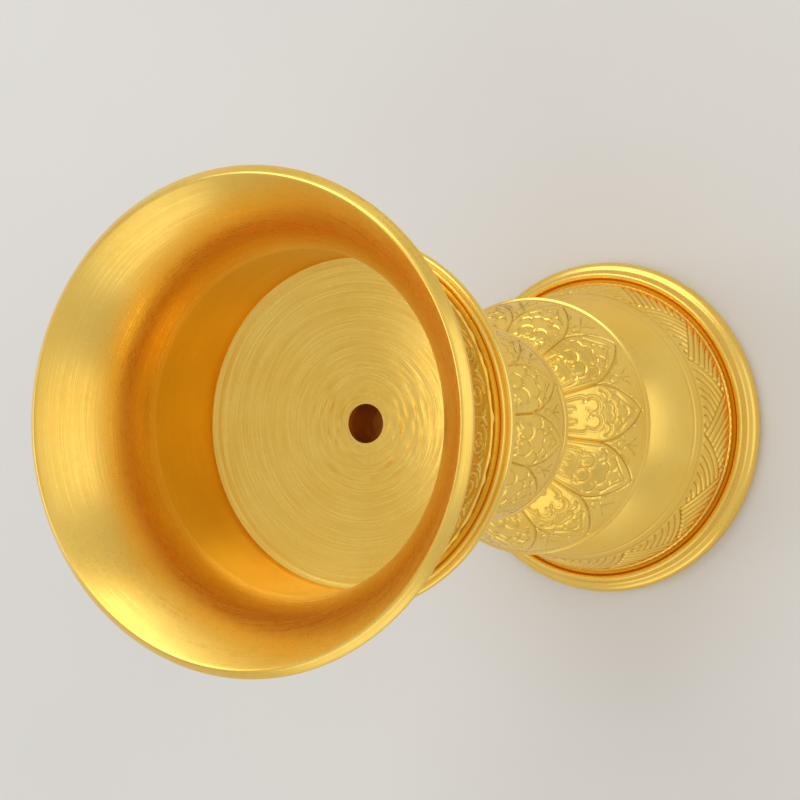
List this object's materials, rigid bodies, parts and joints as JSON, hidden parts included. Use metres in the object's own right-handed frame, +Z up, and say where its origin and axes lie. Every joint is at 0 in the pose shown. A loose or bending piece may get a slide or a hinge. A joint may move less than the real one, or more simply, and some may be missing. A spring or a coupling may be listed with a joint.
{
  "type": "butter lamp cup",
  "caption": "Gilt butter-lamp cup: a flared bowl with a wick socket that unscrews from a knobbed stem on a bell-shaped foot.",
  "frame": {"origin": "centre of the foot's underside, on the surface that the lamp stands on", "axes": "+Z up along the lamp's axis towards the mouth of the bowl; +X and +Y are equal by symmetry"},
  "size_m": [0.08, 0.08, 0.141],
  "materials": {
    "gilt_turned": "satin gilt with fine turning lines",
    "gilt_chased": "satin gilt, chased and punched",
    "gilt_bright": "bright gilt beads and rolls",
    "brass_plain": "plain machined brass"
  },
  "bodies": {
    "stem": {"foot_bell": "gilt_chased", "foot_ring": "gilt_bright", "foot_collar": "gilt_bright", "lower_knob_base": "gilt_turned", "lower_knob_cap": "gilt_chased", "mid_collar": "gilt_bright", "upper_knob_base": "gilt_turned", "upper_knob_cap": "gilt_chased", "neck_collar": "gilt_bright", "tie_rod": "brass_plain", "foot_washer": "brass_plain", "foot_nut": "brass_plain"},
    "washer": {"seat_washer": "brass_plain"},
    "bowl": {"bowl_cup": "gilt_turned", "bowl_calyx": "gilt_chased", "wick_socket": "brass_plain", "bowl_boss": "brass_plain"}
  },
  "joints": [
    {"name": "bowl_turn", "type": "hinge", "parent": "stem", "child": "washer", "pos_m": [0, 0, 0.082], "axis": [0, 0, 1], "range_deg": [0, 2880]},
    {"name": "bowl_lift", "type": "slide", "parent": "washer", "child": "bowl", "axis": [0, 0, 1], "range_m": [0, 0.0101]}
  ],
  "couplings": [
    {"joint": "bowl_lift", "follows": "bowl_turn", "m_per_rad": 0.00019894}
  ]
}
